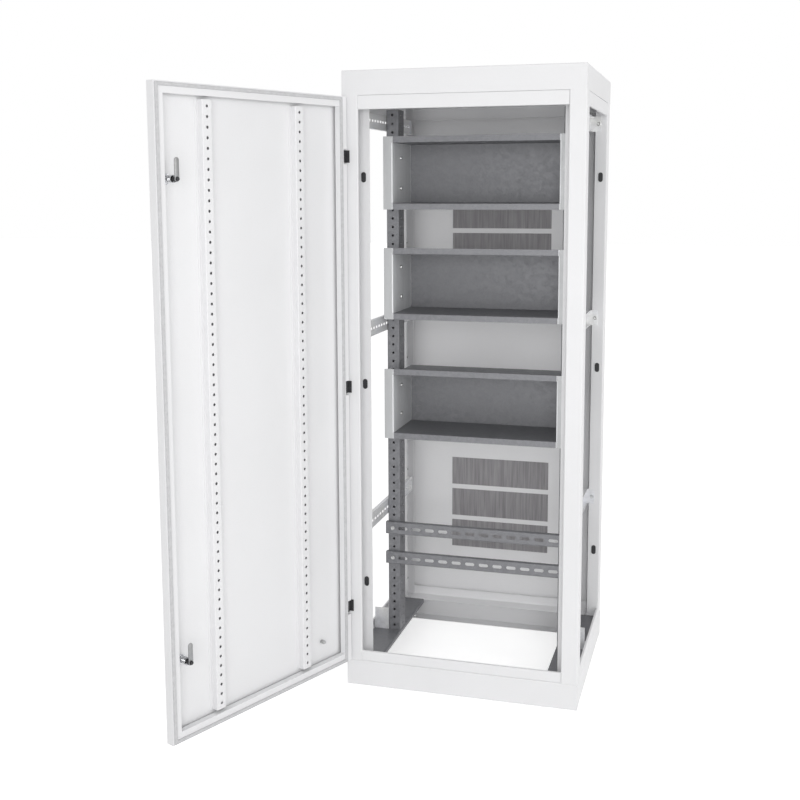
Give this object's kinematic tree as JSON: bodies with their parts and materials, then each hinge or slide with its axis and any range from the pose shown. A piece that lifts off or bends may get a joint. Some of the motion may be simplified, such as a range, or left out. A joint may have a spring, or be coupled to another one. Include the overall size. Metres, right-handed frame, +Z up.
{
  "type": "electrical distribution cabinet",
  "caption": "Floor-standing sheet-steel distribution cabinet with open sides, a vented back, perforated uprights, open trays, slotted cross rails and a left-hung door with quarter-turn locks.",
  "frame": {"origin": "on the floor, under the middle of the plinth and of its four anchor holes", "axes": "+Z up, front towards -Y, +X to the right of someone facing the open front"},
  "size_m": [1.1142, 1.445, 2.1],
  "materials": {
    "paint": "fine powder coat",
    "zinc": "galvanised",
    "white_zinc": "bright zinc",
    "chrome": "polished",
    "black": "black coating",
    "mesh_grey": "woven mesh",
    "rubber": "closed-cell foam"
  },
  "bodies": {
    "cabinet": {"plinth_front": "paint", "plinth_rear": "paint", "plinth_left": "paint", "plinth_right": "paint", "front_left_post": "paint", "front_right_post": "paint", "rear_left_post": "paint", "rear_right_post": "paint", "front_top_rail": "paint", "front_bottom_rail": "paint", "rear_top_rail": "paint", "rear_bottom_rail": "paint", "left_top_rail": "paint", "left_bottom_rail": "paint", "right_top_rail": "paint", "right_bottom_rail": "paint", "slot_plugs": "black", "roof": "paint", "rear_panel": "paint", "vent_screens": "mesh_grey", "rear_panel_screws": "zinc", "floor_angles": "zinc", "left_upright": "zinc", "right_upright": "zinc", "left_foot_bracket": "white_zinc", "right_foot_bracket": "white_zinc", "left_lower_strap": "white_zinc", "left_middle_strap": "white_zinc", "left_upper_strap": "white_zinc", "right_lower_strap": "white_zinc", "right_middle_strap": "white_zinc", "right_upper_strap": "white_zinc", "strap_bolts": "zinc", "lower_tray": "zinc", "middle_tray": "zinc", "upper_tray": "zinc", "tray_bolts": "zinc", "lower_cross_rail": "zinc", "upper_cross_rail": "zinc", "cross_rail_bolts": "zinc", "bolt_nuts": "zinc", "hinge_frame_leaves": "black", "hinge_pins": "zinc"},
    "door": {"hinge_door_leaves": "black", "door_panel": "paint", "hinge_side_stiffener": "paint", "lock_side_stiffener": "paint", "door_seal": "rubber", "earth_stud": "zinc", "earth_nut": "zinc", "lock_nuts": "chrome", "lower_lock_body": "chrome", "upper_lock_body": "chrome"},
    "upper_lock": {"upper_lock_spindle": "black", "upper_lock_cam": "chrome", "upper_lock_screw": "black"},
    "lower_lock": {"lower_lock_spindle": "black", "lower_lock_cam": "chrome", "lower_lock_screw": "black"}
  },
  "joints": [
    {"name": "door_hinge", "type": "hinge", "parent": "cabinet", "child": "door", "pos_m": [-0.39, -0.366, 1.0545], "axis": [0, 0, 1], "range_deg": [-12, 113]},
    {"name": "upper_lock_turn", "type": "hinge", "parent": "door", "child": "upper_lock", "pos_m": [-0.66407, -1.03727, 1.747], "axis": [0.9205, -0.3907, 0], "range_deg": [0, 90]},
    {"name": "lower_lock_turn", "type": "hinge", "parent": "door", "child": "lower_lock", "pos_m": [-0.66407, -1.03727, 0.337], "axis": [0.9205, -0.3907, 0], "range_deg": [0, 90]}
  ]
}
